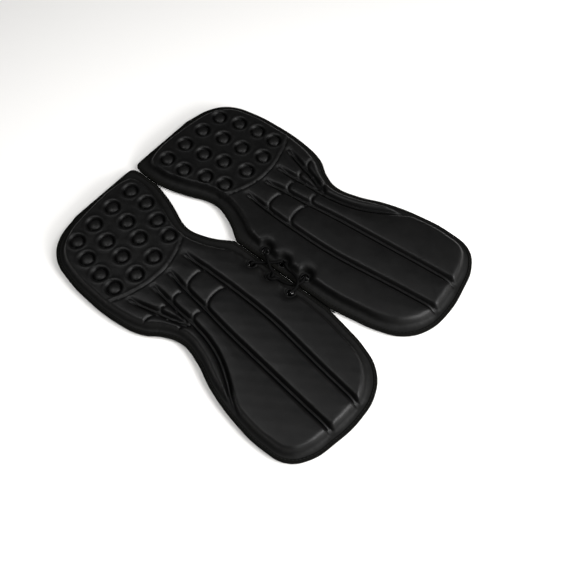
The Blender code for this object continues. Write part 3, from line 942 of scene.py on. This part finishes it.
# The tape's section, as (distance in from the pad's outline, height).
TAPE_PROFILE = [
    (4.2, 7.62), (4.1, 7.84), (3.7, 7.92), (2.4, 7.9), (1.2, 7.88), (0.55, 7.68), (0.15, 7.2), (0, 6.4),
    (0, 5.4), (0.15, 4.7), (0.55, 4.28), (1.2, 4.1), (2.4, 4.08), (3.7, 4.08), (4.1, 4.16), (4.2, 4.38),
    (2.4, 4.42), (0.85, 4.46), (0.6, 5.2), (0.6, 6.6), (0.85, 7.5), (2.4, 7.56),
]


def arcs_of(loop):
    """The closed loop's lower and upper stretches, each as one open line that ends on the split."""
    line = []
    for a, b in zip(loop, np.roll(loop, -1, 0)):
        line.append(a)
        if (a[1] - SPLIT_Y) * (b[1] - SPLIT_Y) < 0:
            share = (SPLIT_Y - a[1]) / (b[1] - a[1])
            line.append(a + share * (b - a))
            line[-1][1] = SPLIT_Y
    line = np.array(line)
    ends = np.flatnonzero(line[:, 1] == SPLIT_Y)
    line = np.roll(line, -ends[0], 0)
    count = ends[1] - ends[0] + 1
    one, other = line[:count], np.vstack([line[count - 1 :], line[:1]])
    return {"lower": one, "upper": other} if one[1, 1] < SPLIT_Y else {"lower": other, "upper": one}


def make_bindings(look):
    """Tape folded round the rim of each pad."""
    loop = even_steps(PAD_LOOP, 2, True)
    profile = np.array(TAPE_PROFILE)
    ring = len(profile)
    for side, sign in SIDES.items():
        for part, line in arcs_of(np.hstack([loop, edge_normals(loop, True)])).items():
            count = len(line)
            plan = line[:, None, :2] + line[:, None, 2:] * profile[None, :, :1]
            height = np.broadcast_to(profile[None, :, 1:], (count, ring, 1))
            vertices = np.concatenate([plan * (sign, 1), height], 2).reshape(-1, 3) * MM
            faces = tube_faces(count, ring, sign > 0)
            tape = new_object(f"{side}_tape_{part}", vertices, faces, look, sharp=70)
            along = lengths_along(line[:, :2])
            give(tape, along=np.repeat(along, ring) * MM, across=np.tile(lengths_along(profile), count) * MM)
            bend(tape, side, part)
            nodes = [f"{side}_{part}_binding"]
            if part == "lower":
                nodes += [f"{side}_band_binding_outer", f"{side}_band_binding_inner"]
            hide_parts(*nodes)


def stitch(place, forward, sideways, height, outward):
    """The points of one stitch: a short thread that dips into the tape at both ends."""
    turns = np.arange(STITCH_SIDES) * 2 * math.pi / STITCH_SIDES
    points = []
    for s in np.linspace(-1, 1, STITCH_RINGS):
        thick = STITCH_RADIUS * (1 - 0.35 * s * s)
        middle = height + outward * (0.12 - 0.3 * s * s)
        for turn in turns:
            u, y = place + forward * s * STITCH_LENGTH / 2 + sideways * thick * math.cos(turn)
            points.append((u, y, middle + thick * math.sin(turn)))
    return points


def make_stitching(look):
    """A row of stitches through the tape, on its front and its back."""
    path = rim_loop(STITCH_INSET, STITCH_PITCH)
    along = np.roll(path, -1, 0) - path
    along /= np.linalg.norm(along, axis=1)[:, None]
    across = np.column_stack([-along[:, 1], along[:, 0]])
    for side, sign in SIDES.items():
        for part in PARTS:
            vertices, faces = [], []
            for place, forward, sideways in zip(path, along, across):
                if (place[1] < SPLIT_Y) != (part == "lower"):
                    continue
                for height, outward in ((TAPE_TOP, 1), (TAPE_BOTTOM, -1)):
                    faces += tube_faces(STITCH_RINGS, STITCH_SIDES, sign < 0, len(vertices))
                    vertices += stitch(place, forward, sideways, height, outward)
            vertices = np.array(vertices) * (sign, 1, 1) * MM
            stitches = new_object(f"{side}_stitches_{part}", vertices, faces, look)
            bend(stitches, side, part)


# ---------------------------------------------------------------- eyelets and lace


def ring_body(name, profile, centre, look, steps=48):
    """A ring with a closed profile of (radius, height), turned about an upright line."""
    profile = np.array(profile)
    turn = np.arange(steps) * 2 * math.pi / steps
    count = len(profile)
    x = centre[0] + profile[None, :, 0] * np.cos(turn)[:, None]
    y = centre[1] + profile[None, :, 0] * np.sin(turn)[:, None]
    z = np.broadcast_to(profile[None, :, 1], (steps, count))
    vertices = np.stack([x, y, z], 2).reshape(-1, 3) * MM
    faces = []
    for i in range(steps):
        for j in range(count):
            a, b = i * count + j, i * count + (j + 1) % count
            c, d = (i + 1) % steps * count + (j + 1) % count, (i + 1) % steps * count + j
            faces.append((a, b, c, d))
    return new_object(name, vertices, faces, look, sharp=50)


def make_eyelets(look):
    """Rolled rims on the front, with the barrel through the pad, and a washer behind."""
    turns = np.radians(np.linspace(0, 180, 13))
    rim = [(EYELET_RIM + 1.3 * math.cos(t), 7.6 + 0.95 * math.sin(t)) for t in turns]
    shapes = {
        "eyelet": ([*rim, (3.8, 4.3), (3.9, 3.85), (4.2, 3.8), (4.2, 7.6)], EYELET_RIM, 0.5),
        "washer": ([(4.5, 3.85), (4.5, 4.2), (6.1, 4.2), (6.2, 4.05), (6.1, 3.85), (5.3, 3.75)], 6.1, 0.3),
    }
    for side, sign in SIDES.items():
        for number, (u, y) in enumerate(EYELETS, 1):
            for kind, (profile, worn_radius, worn_width) in shapes.items():
                ring = ring_body(f"{side}_{kind}_ring_{number}", profile, (sign * u, y), look)
                worn = bump(np.array([radius for radius, _ in profile]) - worn_radius, worn_width)
                give(ring, worn=np.tile(worn, len(ring.data.vertices) // len(profile)))
                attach(ring, f"{side}_lower")
                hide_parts(f"{side}_{kind}_{number}")


def frames_along(path):
    """At each point of the path, its direction and two across it, which twist as little as they can."""
    ahead = np.gradient(path, axis=0)
    ahead /= np.linalg.norm(ahead, axis=1)[:, None]
    first = np.cross(ahead[0], (0, 0, 1))
    side = first / np.linalg.norm(first)
    sides = [side]
    for t in ahead[1:]:
        side = side - t * side.dot(t)
        side /= np.linalg.norm(side)
        sides.append(side)
    sides = np.array(sides)
    return ahead, sides, np.cross(ahead, sides)


def make_lace(look, tip_look):
    """The braided lace, whose yarns wind both ways round it, with a crimped tip on each end."""
    path = even_steps(catmull_rom(LACE_ROUTE, 1.0), LACE_STEP)
    _, right, up = frames_along(path)
    count = len(path)
    reach = np.arange(count)[:, None] * LACE_STEP
    turn = np.arange(LACE_SIDES)[None, :] * 2 * math.pi / LACE_SIDES
    yarns = STRANDS / 2
    one = np.cos(yarns * turn + 2 * math.pi * reach / STRAND_PITCH * yarns)
    other = np.cos(yarns * turn - 2 * math.pi * reach / STRAND_PITCH * yarns)
    yarn = np.maximum(one, other)
    slim = 1 - CRIMP * bump(np.minimum(reach, reach[-1] - reach), CRIMP_REACH)
    radius = (LACE_RADIUS - YARN_HEIGHT + YARN_HEIGHT * yarn) * slim
    outward = np.cos(turn)[..., None] * right[:, None] + np.sin(turn)[..., None] * up[:, None]
    vertices = (path[:, None] + radius[..., None] * outward).reshape(-1, 3) * MM
    lace = new_object("braided_lace", vertices, tube_faces(count, LACE_SIDES, False), look, sharp=80)
    thread = np.where(one > other, 1, -1) * turn * THREADS + reach * THREAD_SLANT
    # yarn is how proud the braid stands at each point, which the material also paints as light and shade.
    give(lace, yarn=(yarn.ravel() + 1) / 2, thread=thread.ravel())
    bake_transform(lace)
    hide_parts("lace")
    for side, end in (("left", path[0]), ("right", path[-1])):
        tip = make_tip(f"{side}_crimped_tip", end, tip_look)
        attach(tip, f"{side}_lower")
        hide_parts(f"lace_tip_{side}")


def make_tip(name, end, look, steps=24):
    """The sleeve pressed on a free end of the lace, along -Y: two crimped waists and a rounded nose."""
    shape = [
        (0.0, 1.28), (-0.6, 1.5), (-2.6, 1.5), (-3.1, 1.36), (-3.6, 1.5), (-5.4, 1.5), (-5.9, 1.38),
        (-6.4, 1.5), (-10.6, 1.42), (-11.6, 1.15), (-12.1, 0.7), (-12.3, 0.2),
    ]
    vertices = [
        (end[0] + radius * math.cos(t), end[1] + TIP_OVERLAP + along, end[2] + radius * math.sin(t))
        for along, radius in shape
        for t in np.arange(steps) * 2 * math.pi / steps
    ]
    return new_object(name, np.array(vertices) * MM, tube_faces(len(shape), steps, False), look, sharp=40)


# ---------------------------------------------------------------- the studio


FLOOR_REACH = 12
# Each light's (place in metres, width, height, watts).
LIGHTS = {
    "fill": ((0.7, -1.5, 1.5), 1.4, 1.4, 38),
    "front": ((0.06, -0.85, 0.42), 0.6, 0.3, 11.5),
    "above": ((0.2, -0.05, 0.95), 0.4, 0.4, 1.15),
    "left": ((-0.31, 0.17, 0.79), 0.45, 0.3, 3.6),
}


def make_camera():
    camera = bpy.data.objects.new("camera", bpy.data.cameras.new("camera"))
    bpy.context.scene.collection.objects.link(camera)
    camera.data.lens = 49.12
    camera.data.sensor_width = 36
    right = Vector((0.64116, -0.76741, 0))
    back = Vector((-0.37979, -0.31731, 0.86895))
    turned = Matrix((right, back.cross(right), back)).transposed().to_4x4()
    camera.matrix_world = Matrix.Translation((-0.3282, -0.3102, 0.7389)) @ turned
    bpy.context.scene.camera = camera


def soft_light(name, location, width, height, power):
    """A soft panel of light that faces the pads, with its width level."""
    light = bpy.data.lights.new(name, "AREA")
    light.shape = "RECTANGLE"
    light.size = width
    light.size_y = height
    light.energy = power
    obj = bpy.data.objects.new(name, light)
    bpy.context.scene.collection.objects.link(obj)
    obj.location = location
    obj.rotation_euler = Vector(location).to_track_quat("Z", "Y").to_euler()


def make_studio():
    """A wide pale floor under the pads, four soft lights and a faint even surround."""
    mesh = bpy.data.meshes.new("floor")
    corners = [(-1, -1), (1, -1), (1, 1), (-1, 1)]
    vertices = [(FLOOR_REACH * x, FLOOR_REACH * y, -0.2 * MM) for x, y in corners]
    mesh.from_pydata(vertices, [], [(0, 1, 2, 3)])
    mesh.materials.append(floor_material())
    floor = bpy.data.objects.new("floor", mesh)
    bpy.context.scene.collection.objects.link(floor)
    floor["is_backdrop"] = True
    for name, (location, width, height, power) in LIGHTS.items():
        soft_light(name, location, width, height, power)
    world = bpy.data.worlds.new("studio")
    world.use_nodes = True
    background = world.node_tree.nodes["Background"]
    background.inputs["Color"].default_value = (1, 0.995, 0.985, 1)
    background.inputs["Strength"].default_value = 0.1
    bpy.context.scene.world = world
    bpy.context.scene.view_settings.view_transform = "Standard"


make_camera()
make_studio()
make_covers(cover_material())
make_foam(foam_material())
make_boards(board_material())
make_linings(lining_material())
make_bindings(tape_material())
make_stitching(thread_material())
make_eyelets(enamel_material())
make_lace(lace_material(), tip_material())

sizes = {"cad": CAD_BOX, "visual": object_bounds()}
{key: [list(map(float, corner)) for corner in box] for key, box in sizes.items()}
